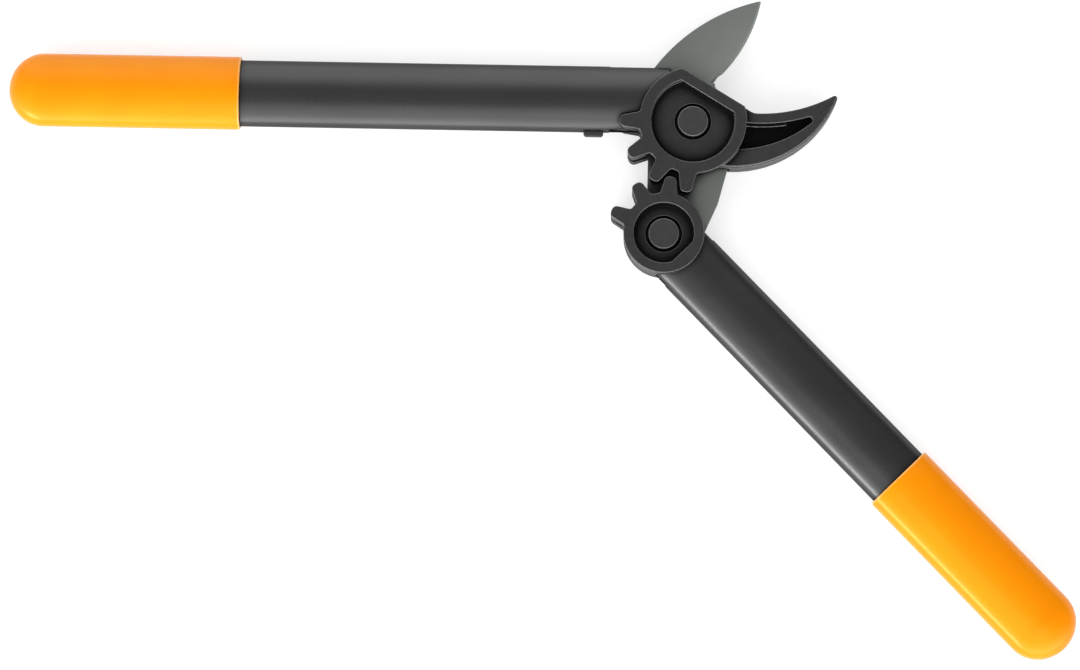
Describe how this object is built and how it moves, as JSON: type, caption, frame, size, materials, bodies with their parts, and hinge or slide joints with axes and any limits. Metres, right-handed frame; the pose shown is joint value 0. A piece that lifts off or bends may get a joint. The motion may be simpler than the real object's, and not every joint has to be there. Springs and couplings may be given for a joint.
{
  "type": "anvil lopper",
  "caption": "Short pruning lopper with a hooked anvil jaw, a curved blade driven through meshing gear plates, oval tube handles and rounded hand grips.",
  "frame": {"origin": "on the main pivot's axis, at the rear end of its pin, in the plane that the tool lies on", "axes": "+X along the upper handle's line from its grip towards the jaws, +Y towards the blade's side of the open jaws, +Z along the pivot axes, out of the front face"},
  "size_m": [0.5982, 0.3636, 0.026],
  "materials": {
    "moulding": "matte",
    "tube_paint": "satin",
    "grip": "satin",
    "blade_steel": "satin",
    "pin": "satin",
    "washer": "satin",
    "bush": "satin",
    "rivet": "satin",
    "bumper": "matte"
  },
  "bodies": {
    "upper_handle": {"anvil_jaw": "moulding", "upper_tube": "tube_paint", "upper_grip": "grip", "upper_tube_rivets": "rivet", "stop_bumper": "bumper", "main_pivot_pin": "pin", "main_pivot_nut": "pin", "main_washer_front": "washer", "main_washer_rear": "washer"},
    "blade": {"blade": "blade_steel", "main_bush": "bush", "lower_bush": "bush"},
    "lower_handle": {"lower_gear": "moulding", "lower_tube": "tube_paint", "lower_grip": "grip", "lower_tube_rivets": "rivet", "lower_pivot_pin": "pin", "lower_pivot_nut": "pin", "lower_washer_front": "washer", "lower_washer_rear": "washer"}
  },
  "joints": [
    {"name": "blade_hinge", "type": "hinge", "parent": "upper_handle", "child": "blade", "pos_m": [0, 0, 0], "axis": [0, 0, -1], "range_deg": [0, 50.5]},
    {"name": "lower_handle_hinge", "type": "hinge", "parent": "blade", "child": "lower_handle", "pos_m": [-0.01506, -0.06323, 0], "axis": [0, 0, -1], "range_deg": [0, 66.66]}
  ],
  "couplings": [
    {"joint": "blade_hinge", "follows": "lower_handle_hinge", "ratio": 0.75758}
  ]
}
